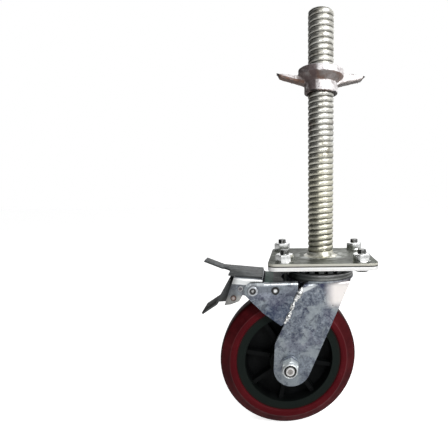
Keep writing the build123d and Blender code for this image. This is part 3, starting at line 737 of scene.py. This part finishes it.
pinLook = {
    # radius in mm and the tone there: rings of painted highlight and painted shade round each head, seen end
    # on
    "pivot": [(0.0, grey(0.9)), (1.4, (0.75, 0.75, 0.76)), (2.2, grey(0.03)), (4.2, grey(0.05)),
              (5.2, (0.62, 0.65, 0.69)), (7.0, (0.50, 0.53, 0.57)), (7.6, grey(0.05))],
    "fulcrum": [(0.0, grey(0.95)), (2.1, (0.85, 0.87, 0.88)), (2.8, grey(0.16)), (3.4, grey(0.02))],
    "leverPin": [(0.0, (0.55, 0.5, 0.48)), (2.0, (0.32, 0.27, 0.25)), (3.2, (0.10, 0.045, 0.03)),
                 (4.2, (0.05, 0.03, 0.025))],
    "rollerPin": [(0.0, (0.13, 0.125, 0.14)), (2.2, (0.16, 0.15, 0.165)), (2.9, (0.55, 0.56, 0.57)),
                  (3.8, grey(0.4))],
    "axle": [(0.0, (0.30, 0.29, 0.28)), (3.4, (0.38, 0.36, 0.34)), (4.4, (0.86, 0.86, 0.85)),
             (5.7, (0.80, 0.80, 0.79)), (6.3, grey(0.01)), (8.4, grey(0.012)), (8.9, (0.80, 0.84, 0.85)),
             (9.8, (0.90, 0.96, 0.97))],
    "axleBack": (0.62, 0.66, 0.69),
    "widest": 10.0,
    "roughness": 0.32,
    "metallic": 0.4,
}


def makePinMetal(name, centre, rings, backTone=None):
    # a turned head seen end on, with rings of painted highlight and painted shade; with a backTone its +Y
    # end has that colour all over
    material, tree, shader = startMaterial(name)
    x, y, z = placeParts(tree, shift=(-centre[0], 0, -centre[1]))
    widest = pinLook["widest"]
    radius = product(tree, distance(tree, x, z), 1 / mm, 1 / widest)
    colour = ramp(tree, radius, [(r / widest, tone) for r, tone in rings])
    if backTone:
        colour = mixColours(tree, rangeOf(tree, y, -1 * mm, 1 * mm), colour, backTone)
    speck = ramp(tree, noise(tree, 420, 3, 0.6), [(0.35, grey(0.62)), (0.6, grey(1.0))])
    colour = mixColours(tree, 1.0, colour, speck, "MULTIPLY")
    roughen(tree, shader, noise(tree, 700, 3), 0.2, 0.15 * mm)
    finishWith(tree, shader, colour, pinLook["roughness"], pinLook["metallic"])
    return material


sheetLook = {
    "dark": (0.017, 0.020, 0.021),
    "middle": (0.034, 0.039, 0.042),
    "light": (0.070, 0.076, 0.080),
    "edge": (0.085, 0.088, 0.088),
    "olive": (0.015, 0.014, 0.009),   # the hanging lever
    "oliveDepth": (24 * mm, 34 * mm),
    "streak": (0.10, 0.097, 0.072),
    "smooth": 0.36,
    "dull": 0.52,
    "specular": 0.12,
    "metallic": 0.25,
}


def makeDarkSteel():
    look = sheetLook
    material, tree, shader = startMaterial("dark_steel_sheet")
    z = placeParts(tree)[2]
    colour = tones(tree, noise(tree, 90, 5, 0.6, 0.4), look, dark=0.36, middle=0.50, light=0.66)
    low = rangeOf(tree, z, *[pedalHigh.z - depth for depth in look["oliveDepth"]])
    colour = tint(tree, colour, look["olive"], 0.8, low)
    streaks = noise(tree, 90, 4, 0.6, 0.4, stretch=(0.5, 4, 0.5), shift=(0.2, 0.4, 0.9))
    colour = tint(tree, colour, look["streak"], 0.5, rangeOf(tree, streaks, 0.54, 0.66))
    sides = rangeOf(tree, unsigned(tree, facing(tree)[1]), 0.5, 0.85)
    colour = tint(tree, colour, look["edge"], 0.75, sides)
    roughen(tree, shader, noise(tree, 600, 3), 0.2, 0.2 * mm)
    finishWith(tree, shader, colour, roughnessOf(tree, 200, look), look["metallic"], look["specular"])
    return material


weldLook = {"dark": (0.07, 0.075, 0.08), "middle": (0.42, 0.43, 0.43), "bright": (0.88, 0.89, 0.88),
            "cloudScale": 240, "warp": (0.65, 0.6), "shares": (0.38, 0.45, 0.54), "grain": (500, 3),
            "roughness": 0.3, "metallic": 0.5}
# the fillet at the stem's foot, paler than the plate it runs out on
footWeldLook = {"dark": (0.24, 0.235, 0.19), "middle": (0.56, 0.55, 0.47), "bright": (0.82, 0.82, 0.77),
                "cloudScale": 90, "warp": (0.6, 0.6), "shares": (0.36, 0.52, 0.66), "grain": (380, 4),
                "roughness": 0.34, "metallic": 0.6}


def makeWeldMetal(name, look):
    material, tree, shader = startMaterial(name)
    dark, middle, bright = look["shares"]
    clouds = noise(tree, look["cloudScale"], 4, *look["warp"])
    colour = tones(tree, clouds, look, dark=dark, middle=middle, bright=bright)
    roughen(tree, shader, noise(tree, *look["grain"]), 0.4, 0.4 * mm)
    finishWith(tree, shader, colour, look["roughness"], look["metallic"])
    return material


tyreLook = {
    "deep": (0.044, 0.0040, 0.0058),
    "body": (0.066, 0.0062, 0.0080),
    "lit": (0.110, 0.0140, 0.0175),
    "ring": (0.088, 0.0046, 0.0082),  # stronger red beside the rim
    "ringUpTo": (84.5 * mm, 87.0 * mm),
    "seam": (0.15, 0.040, 0.045),     # moulding line where the side ends
    "seamBand": (85.6 * mm, 86.4 * mm, 0.6 * mm),
    # painted shade on the tread face
    "tread": (0.022, 0.0020, 0.0030),
    "treadFrom": (97.5 * mm, 100.5 * mm),
    "dust": (0.16, 0.055, 0.055),
    "smooth": 0.34,
    "dull": 0.5,
    "specular": 0.05,
}


def makeTyreRubber():
    look = tyreLook
    material, tree, shader = startMaterial("maroon_polyurethane")
    x, _, z = placeParts(tree, shift=(-axleX, 0, -axleZ))
    radius = distance(tree, x, z)
    colour = tones(tree, noise(tree, 30, 4, 0.6), look, deep=0.35, body=0.52, lit=0.74)
    colour = mixColours(tree, rangeOf(tree, radius, *look["ringUpTo"], 0.6, 0.0), colour, look["ring"])
    colour = tint(tree, colour, look["seam"], 0.4, bandOf(tree, radius, *look["seamBand"]))
    # painted shade on the tread face
    colour = tint(tree, colour, look["tread"], 0.6, rangeOf(tree, radius, *look["treadFrom"]))
    dust = ramp(tree, noise(tree, 150, 4, 0.7), [(0.60, grey(0)), (0.76, grey(0.14))])
    colour = mixColours(tree, dust, colour, look["dust"])
    roughen(tree, shader, noise(tree, 500, 3), 0.12, 0.2 * mm)
    finishWith(tree, shader, colour, roughnessOf(tree, 110, look), 0.0, look["specular"])
    return material


coreLook = {
    "black": (0.0022, 0.0026, 0.0028),
    "worn": (0.0048, 0.0055, 0.0056),
    "lip": (0.0085, 0.0125, 0.0108),
    "lipFrom": (63.5 * mm, 65.5 * mm),
    "step": (0.017, 0.010, 0.008),    # brown line where the tyre meets it
    "stepFrom": (73.6 * mm, 75.2 * mm),
    "smooth": 0.42,
    "dull": 0.6,
    "specular": 0.06,
}


def makeCorePlastic():
    look = coreLook
    material, tree, shader = startMaterial("black_core")
    x, _, z = placeParts(tree, shift=(-axleX, 0, -axleZ))
    radius = distance(tree, x, z)
    colour = tones(tree, noise(tree, 45, 4, 0.6), look, black=0.38, worn=0.68)
    colour = tint(tree, colour, look["lip"], 1.0, rangeOf(tree, radius, *look["lipFrom"]))
    colour = tint(tree, colour, look["step"], 0.7, rangeOf(tree, radius, *look["stepFrom"]))
    roughen(tree, shader, noise(tree, 650, 3), 0.2, 0.2 * mm)
    finishWith(tree, shader, colour, roughnessOf(tree, 120, look), 0.0, look["specular"])
    return material


shoeLook = {"black": grey(0.006), "worn": grey(0.014), "specular": 0.1, "roughness": 0.8}


def makeShoeRubber():
    look = shoeLook
    material, tree, shader = startMaterial("brake_pad")
    colour = tones(tree, noise(tree, 300, 4), look, black=0.35, worn=0.65)
    roughen(tree, shader, noise(tree, 900, 3), 0.4, 0.3 * mm)
    finishWith(tree, shader, colour, look["roughness"], 0.0, look["specular"])
    return material


zinc = makeZinc()
forkZinc = makeForkZinc()
bracketZinc = makeBracketZinc()
stemSteel = makeStemSteel()
plateSteel = makePlateSteel()
castZinc = makeCastZinc()
boltZinc = makeBoltZinc()
darkSteel = makeDarkSteel()
weldMetal = makeWeldMetal("weld_metal", weldLook)
tyreRubber = makeTyreRubber()
corePlastic = makeCorePlastic()
shoeRubber = makeShoeRubber()
pedalZinc = makePedalZinc()
ringSteel = makeRingSteel()
footWeld = makeWeldMetal("foot_weld", footWeldLook)
pivotMetal = makePinMetal("pivot_rivet", middleOf("pivot_rivets"), pinLook["pivot"])
fulcrumMetal = makePinMetal("fulcrum_head", middleOf("fulcrum_pin"), pinLook["fulcrum"])
leverPinMetal = makePinMetal("lever_rivet", middleOf("lever_pin"), pinLook["leverPin"])
rollerPinMetal = makePinMetal("roller_pin_head", middleOf("roller_pin"), pinLook["rollerPin"])
axleMetal = makePinMetal("axle_lock_nut", (axleX, axleZ), pinLook["axle"], pinLook["axleBack"])
print("finishes made")

# Threaded stem: a rolled round thread, open tube

thread = {
    "pitch": 8 * mm,
    "rootRadius": 17.75 * mm,
    "crestRadius": 19.0 * mm,
    "boreRadius": 14.0 * mm,
    "rootHeight": 72.1 * mm,   # a root's height on the -Y side
    "steps": 56,
    "topChamfer": 1.6 * mm,
}


def threadProfile():
    # (share of the pitch, share of the depth) from one root to the next
    return [(0.0, 0.0), (0.07, 0.10), (0.16, 0.55), (0.26, 0.88), (0.38, 1.0), (0.62, 1.0), (0.74, 0.88),
            (0.84, 0.55), (0.93, 0.10), (1.0, 0.0)]


def makeThread():
    clearSelection()
    pitch = thread["pitch"]
    below = int((thread["rootHeight"] - stemLow.z) / pitch) + 2
    turns = below + int((stemHigh.z - thread["rootHeight"]) / pitch) + 3
    start = thread["rootHeight"] - below * pitch
    screwBody = profileStart("stem_thread", thread["rootRadius"], start)
    depth = thread["crestRadius"] - thread["rootRadius"]
    profile = threadProfile()
    for (shareA, deepA), (shareB, deepB) in zip(profile, profile[1:]):
        step = (0, -(deepB - deepA) * depth, (shareB - shareA) * pitch)
        bpy.ops.mesh.extrude_region_move(TRANSFORM_OT_translate={"value": step})
    endEdit()
    turn = screwBody.modifiers.new("turn", "SCREW")
    turn.steps = turn.render_steps = thread["steps"]
    turn.screw_offset = pitch
    turn.iterations = turns
    turn.use_merge_vertices = True
    turn.merge_threshold = 0.01 * mm
    applyModifiers(screwBody)
    bpy.ops.object.mode_set(mode="EDIT")
    for height, upper in ((stemHigh.z + mm, True), (stemLow.z - mm, False)):
        bpy.ops.mesh.select_all(action="SELECT")
        bpy.ops.mesh.bisect(plane_co=(0, 0, height), plane_no=(0, 0, 1), use_fill=True, clear_outer=upper,
                            clear_inner=not upper, threshold=0.0001 * mm)
    bpy.ops.mesh.select_all(action="SELECT")
    bpy.ops.mesh.remove_doubles(threshold=0.002 * mm)
    bpy.ops.mesh.normals_make_consistent(inside=False)
    endEdit()
    return screwBody


def makeTubeBlank():
    outside = thread["crestRadius"] + 0.4 * mm
    chamfered = thread["crestRadius"] - thread["topChamfer"]
    slope = outside - chamfered
    points = [(thread["boreRadius"], stemLow.z), (outside, stemLow.z), (outside, stemHigh.z - slope),
              (chamfered, stemHigh.z), (thread["boreRadius"], stemHigh.z)]
    return lathe("stem_blank", points, 64, (0, 0, 0), "Z")


stemThread = makeThread()
blank = makeTubeBlank()
cut = stemThread.modifiers.new("cut", "BOOLEAN")
cut.operation = "INTERSECT"
cut.solver = "EXACT"
cut.object = blank
applyModifiers(stemThread)
bpy.data.objects.remove(blank)
smoothShade(stemThread, 40)
dress(stemThread, stemSteel, "stem_steel", "jack", "threaded_stem")
print("stem thread made,", len(stemThread.data.polygons), "faces")

# Wheel: tyre and moulded core, turned about the axle

tyreShape = {
    "innerRadius": 76.5 * mm,
    "stepRadius": 78.0 * mm,
    "flatRadius": 80.5 * mm,
    "sideRadius": 85.5 * mm,
    "bevelRadius": 91 * mm,
    "outerRadius": (tyreHigh.x - tyreLow.x) / 2,
    "halfWidth": tyreHigh.y,
    "shoulder": 17.0 * mm,
    "steps": 144,
}


def makeTyre():
    shape = tyreShape
    outer = shape["outerRadius"]
    half = shape["halfWidth"]
    inner, side, shoulder = shape["innerRadius"], shape["sideRadius"], shape["shoulder"]
    # from the rim out over the side and the shoulder to the tread, as radius and half width
    upper = [(inner, half - 2.5 * mm), (inner + 0.6 * mm, half - 1.2 * mm),
             (shape["stepRadius"], half - 0.4 * mm), (shape["flatRadius"], half), (side - 0.9 * mm, half),
             (side, half - 0.25 * mm), (side + 0.8 * mm, half - 1.0 * mm),
             (shape["bevelRadius"], half - 4.2 * mm), (outer - 3 * mm, shoulder + 0.8 * mm),
             (outer - 1.5 * mm, shoulder - 1.3 * mm), (outer - 0.5 * mm, shoulder - 4.4 * mm),
             (outer - 0.1 * mm, shoulder - 8.5 * mm), (outer, 3 * mm)]
    lower = [(r, -w) for r, w in reversed(upper)]
    tyre = lathe("tyre_tread", upper + lower, shape["steps"], (axleX, 0, axleZ), "Y")
    smoothShade(tyre, 50)
    dress(tyre, tyreRubber, "tyre", "wheel", "tyre")
    return tyre


makeTyre()
print("tyre made")

# Wing nut: the CAD's shape with the skin of a rough casting

casting = {
    "voxel": 0.8 * mm,
    "waves": (9 * mm, 0.9 * mm),     # size and depth of the slow waves
    "pits": (2.6 * mm, 0.6 * mm),
}


def displaceInwards(piece, name, size, depth):
    clouds = bpy.data.textures.new(name, "CLOUDS")
    clouds.noise_scale = size
    clouds.noise_depth = 2
    push = piece.modifiers.new(name, "DISPLACE")
    push.texture = clouds
    push.texture_coords = "LOCAL"
    push.strength = depth
    push.mid_level = 1.0
    push.direction = "NORMAL"


def voxelSkin(piece, voxel):
    skin = piece.modifiers.new("skin", "REMESH")
    skin.mode = "VOXEL"
    skin.voxel_size = voxel
    skin.use_smooth_shade = True


def makeNutCasting():
    piece = softCopy("wing_nut", 0)
    piece.name = "wing_nut_casting"
    voxelSkin(piece, casting["voxel"])
    displaceInwards(piece, "casting_waves", *casting["waves"])
    displaceInwards(piece, "casting_pits", *casting["pits"])
    applyModifiers(piece)
    dress(piece, castZinc, "cast_nut", "wing_nut", "wing_nut")
    return piece


makeNutCasting()
print("wing nut made")

# Weld beads along the fork's back edges: rows of lumps, one row a side

beads = {
    # share of the run, and radius in mm
    "lumps": [(0.03, 2.4), (0.10, 3.4), (0.19, 4.0), (0.28, 3.3), (0.36, 2.1), (0.43, 3.5), (0.51, 3.8),
              (0.58, 2.2), (0.66, 3.6), (0.74, 4.6), (0.83, 4.9), (0.90, 4.0), (0.97, 2.6)],
    "endRadius": 3.5 * mm,
    "flatten": 0.8,
    "sway": 0.9 * mm,
    "voxel": 0.5 * mm,
    "ripples": (1.6 * mm, 0.7 * mm),
}


def makeWeldBeads():
    low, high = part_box("bracket_welds")
    end = beads["endRadius"]
    start = Vector((low.x + end, low.y + end, low.z + end))
    finish = Vector((high.x - end, low.y + end, high.z - end))
    clearSelection()
    lumps = []
    for count, (share, radius) in enumerate(beads["lumps"]):
        place = start.lerp(finish, share) + Vector((beads["sway"] * sin(7 * count), 0, 0))
        bpy.ops.mesh.primitive_ico_sphere_add(subdivisions=3, radius=radius * mm, location=place,
                                              scale=(1, beads["flatten"], 1))
        lumps.append(bpy.context.object)
    bead = joinPieces(lumps)
    bead.name = "weld_bead_near"
    settle(bead)
    voxelSkin(bead, beads["voxel"])
    displaceInwards(bead, "weld_ripples", *beads["ripples"])
    applyModifiers(bead)
    dress(bead, weldMetal, "weld_metal", "fork", "bracket_welds")
    far = bead.copy()
    far.data = bead.data.copy()
    far.name = "weld_bead_far"
    bpy.context.scene.collection.objects.link(far)
    far.scale = (1, -1, 1)
    settle(far)
    outwardNormals(far)
    dress(far, weldMetal, "weld_metal", "fork", "bracket_welds")


makeWeldBeads()
print("weld beads made")

# Axle: round washers and a lock nut with a nylon ring

axleNut = {
    "washerRadius": 14 * mm,
    "washerThickness": 2.5 * mm,
    "washerEdge": 0.4 * mm,
    "boreRadius": 6.15 * mm,
    "acrossFlats": 22 * mm,
    "height": 12 * mm,
    "turn": 8.0,             # degrees
    "edge": 0.8 * mm,
    # the collar from its bore out and round to the nylon: radius, and distance in front of the washer
    "collar": [(6.3, 11.0), (10.9, 11.0), (10.9, 13.8), (10.5, 15.2), (9.7, 16.2), (9.1, 16.5), (8.7, 16.1),
               (8.6, 14.6), (6.3, 14.6)],
}
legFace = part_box("axle_washers")[1].y - axleNut["washerThickness"]


def makeAxleWashers():
    shape = axleNut
    for side, name in ((-1, "near"), (1, "far")):
        near, far = side * legFace, side * (legFace + shape["washerThickness"])
        edge, bore, outside = shape["washerEdge"], shape["boreRadius"], shape["washerRadius"]
        points = [(bore, near), (outside, near), (outside, far - side * edge), (outside - edge, far),
                  (bore, far)]
        washer = lathe("axle_washer_" + name, points, 48, (axleX, 0, axleZ), "Y")
        smoothShade(washer, 30)
        dress(washer, zinc, "bolt_zinc", "fork", "axle_washers")


def makeAxleNut():
    shape = axleNut
    seat = -legFace - shape["washerThickness"]
    clearSelection()
    height = shape["height"]
    bpy.ops.mesh.primitive_cylinder_add(vertices=6, radius=shape["acrossFlats"] / 3 ** 0.5, depth=height,
                                        location=(axleX, seat - height / 2, axleZ),
                                        rotation=(radians(90), radians(shape["turn"]), 0))
    block = bpy.context.object
    editAll()
    bpy.ops.mesh.bevel(offset=shape["edge"], segments=3, affect="EDGES")
    endEdit()
    settle(block)
    points = [(r * mm, seat - along * mm) for r, along in shape["collar"]]
    collar = lathe("collar", points, 64, (axleX, 0, axleZ), "Y")
    nut = joinPieces([block, collar])
    nut.name = "axle_lock_nut"
    outwardNormals(nut)
    smoothShade(nut, 35)
    dress(nut, axleMetal, "bolt_zinc", "fork", "axle_nut")


makeAxleWashers()
makeAxleNut()
print("axle nut made")

# Bolts, plates, sheet pieces: the CAD shapes with broken edges

edged = {
    "fork": (0.9, forkZinc, "zinc_steel", "fork"),
    "brake_bracket": (0.5, bracketZinc, "zinc_steel", "fork"),
    "pedal": (0.4, pedalZinc, "zinc_steel", "pedal"),
    "release_plate": (0.4, darkSteel, "dark_steel", "pedal"),
    "lock_lever": (0.5, darkSteel, "dark_steel", "pedal"),
    "base_plate": (0.7, plateSteel, "plate_steel", "jack"),
    "castor_plate": (0.7, plateSteel, "plate_steel", "jack"),
    "plate_nuts": (0.5, boltZinc, "bolt_zinc", "jack"),
    "plate_bolts": (0.4, boltZinc, "bolt_zinc", "jack"),
    "axle_bolt": (0.6, axleMetal, "bolt_zinc", "fork"),
    "pivot_rivets": (0.4, pivotMetal, "bolt_zinc", "fork"),
    "lock_ring": (0.3, darkSteel, "dark_steel", "jack"),
}
for nodeName, (bevel, finish, slotName, bodyName) in edged.items():
    piece = softCopy(nodeName, bevel * mm)
    dress(piece, finish, slotName, bodyName, nodeName)
print("edged pieces made")

plain = {
    "stem_weld": footWeld, "plate_washers": boltZinc, "top_race": ringSteel, "kingpin": darkSteel,
    "kingpin_nut": boltZinc, "lower_cup": ringSteel, "crown_race": ringSteel, "dust_ring": ringSteel,
    "upper_balls": boltZinc, "lower_balls": boltZinc, "fulcrum_pin": fulcrumMetal, "axle_sleeve": zinc,
    "rim": corePlastic, "wheel_bearings": boltZinc, "lever_pin": leverPinMetal, "roller_pin": rollerPinMetal,
    "cam_roller": darkSteel, "brake_arm": darkSteel, "brake_shoe": shoeRubber,
}
for nodeName, finish in plain.items():
    nodes[nodeName].data.materials.clear()
    nodes[nodeName].data.materials.append(finish)
print("CAD pieces finished")

# Floor, light and camera

stage = {
    "floorSize": 12.0,
    "floorColour": (0.86, 0.86, 0.86),
    "floorRoughness": 0.9,
    "floorSpecular": 0.1,
    "floorGlow": 0.78,          # seen by the camera only
    "floorShine": 0.12,         # in reflections, where the lit floor adds the rest
    "worldStrength": 0.33,
    "darkSide": 0.03,           # the world's strength from the -X side
    "darkFrom": (-0.60, -0.05),
}
lamps = {                       # place, power in watts and size
    "key_light": ((0.75, -1.1, 0.55), 16.0, 0.55),
    "fill_light": ((-0.25, -1.3, 0.1), 2.5, 0.5),
    "back_light": ((0.3, 1.2, 0.6), 5.0, 0.8),
}


def makeFloor():
    clearSelection()
    bpy.ops.mesh.primitive_plane_add(size=stage["floorSize"], location=(0, 0, groundZ))
    floor = bpy.context.object
    floor.name = "floor"
    editAll()
    bpy.ops.mesh.subdivide(number_cuts=3)
    endEdit()
    material, tree, shader = startMaterial("pale_floor")
    shader.inputs["Base Color"].default_value = (*stage["floorColour"], 1)
    shader.inputs["Roughness"].default_value = stage["floorRoughness"]
    shader.inputs["Specular IOR Level"].default_value = stage["floorSpecular"]
    path = tree.nodes.new("ShaderNodeLightPath")
    seen = calculate(tree, "MAXIMUM", path.outputs["Is Camera Ray"], path.outputs["Is Transmission Ray"])
    shine = product(tree, path.outputs["Is Glossy Ray"], stage["floorShine"])
    glow = calculate(tree, "MAXIMUM", product(tree, seen, stage["floorGlow"]), shine)
    shader.inputs["Emission Color"].default_value = (1, 1, 1, 1)
    tree.links.new(glow, shader.inputs["Emission Strength"])
    floor.data.materials.append(material)
    settle(floor)


def makeWorld():
    world = bpy.data.worlds.new("studio")
    bpy.context.scene.world = world
    world.use_nodes = True
    tree = world.node_tree
    background = tree.nodes["Background"]
    background.inputs["Color"].default_value = (1, 1, 1, 1)
    path = tree.nodes.new("ShaderNodeLightPath")
    coords = tree.nodes.new("ShaderNodeTexCoord")
    apart = tree.nodes.new("ShaderNodeSeparateXYZ")
    tree.links.new(coords.outputs["Generated"], apart.inputs["Vector"])
    side = rangeOf(tree, apart.outputs["X"], *stage["darkFrom"], stage["darkSide"], 1.0)
    lit = calculate(tree, "MAXIMUM", path.outputs["Is Glossy Ray"], stage["worldStrength"])
    seen = calculate(tree, "MAXIMUM", path.outputs["Is Camera Ray"], path.outputs["Is Transmission Ray"])
    strength = calculate(tree, "MAXIMUM", seen, product(tree, side, lit))
    tree.links.new(strength, background.inputs["Strength"])


def makeLamp(name, place, power, size, aim=(0, 0, -0.3)):
    lampData = bpy.data.lights.new(name, "AREA")
    lampData.energy = power
    lampData.shape = "DISK"
    lampData.size = size
    lamp = bpy.data.objects.new(name, lampData)
    bpy.context.scene.collection.objects.link(lamp)
    lamp.location = place
    lamp.rotation_euler = (Vector(aim) - Vector(place)).to_track_quat("-Z", "Y").to_euler()


photoCamera = {
    "place": (-67.12 * mm, -500 * mm, -173.26 * mm),
    "yaw": 5.83,            # degrees towards +X
    "pitch": 4.47,          # degrees down
    "focalPixels": 335.11,
    "centrePixel": (310, 216),
    "photoSize": (448, 432),
}


def makeCamera():
    cameraData = bpy.data.cameras.new("photo_camera")
    camera = bpy.data.objects.new("photo_camera", cameraData)
    bpy.context.scene.collection.objects.link(camera)
    width, height = photoCamera["photoSize"]
    centreX, centreY = photoCamera["centrePixel"]
    cameraData.sensor_width = 36
    cameraData.lens = photoCamera["focalPixels"] * cameraData.sensor_width / width
    cameraData.shift_x = (width / 2 - centreX) / width
    cameraData.shift_y = (centreY - height / 2) / width
    cameraData.clip_start = 0.01
    camera.location = photoCamera["place"]
    camera.rotation_euler = (radians(90 - photoCamera["pitch"]), 0, radians(-photoCamera["yaw"]))
    bpy.context.scene.camera = camera


makeFloor()
makeWorld()
for lampName, (place, power, size) in lamps.items():
    makeLamp(lampName, place, power, size)
makeCamera()
bpy.context.scene.view_settings.view_transform = "Standard"
print("stage set")
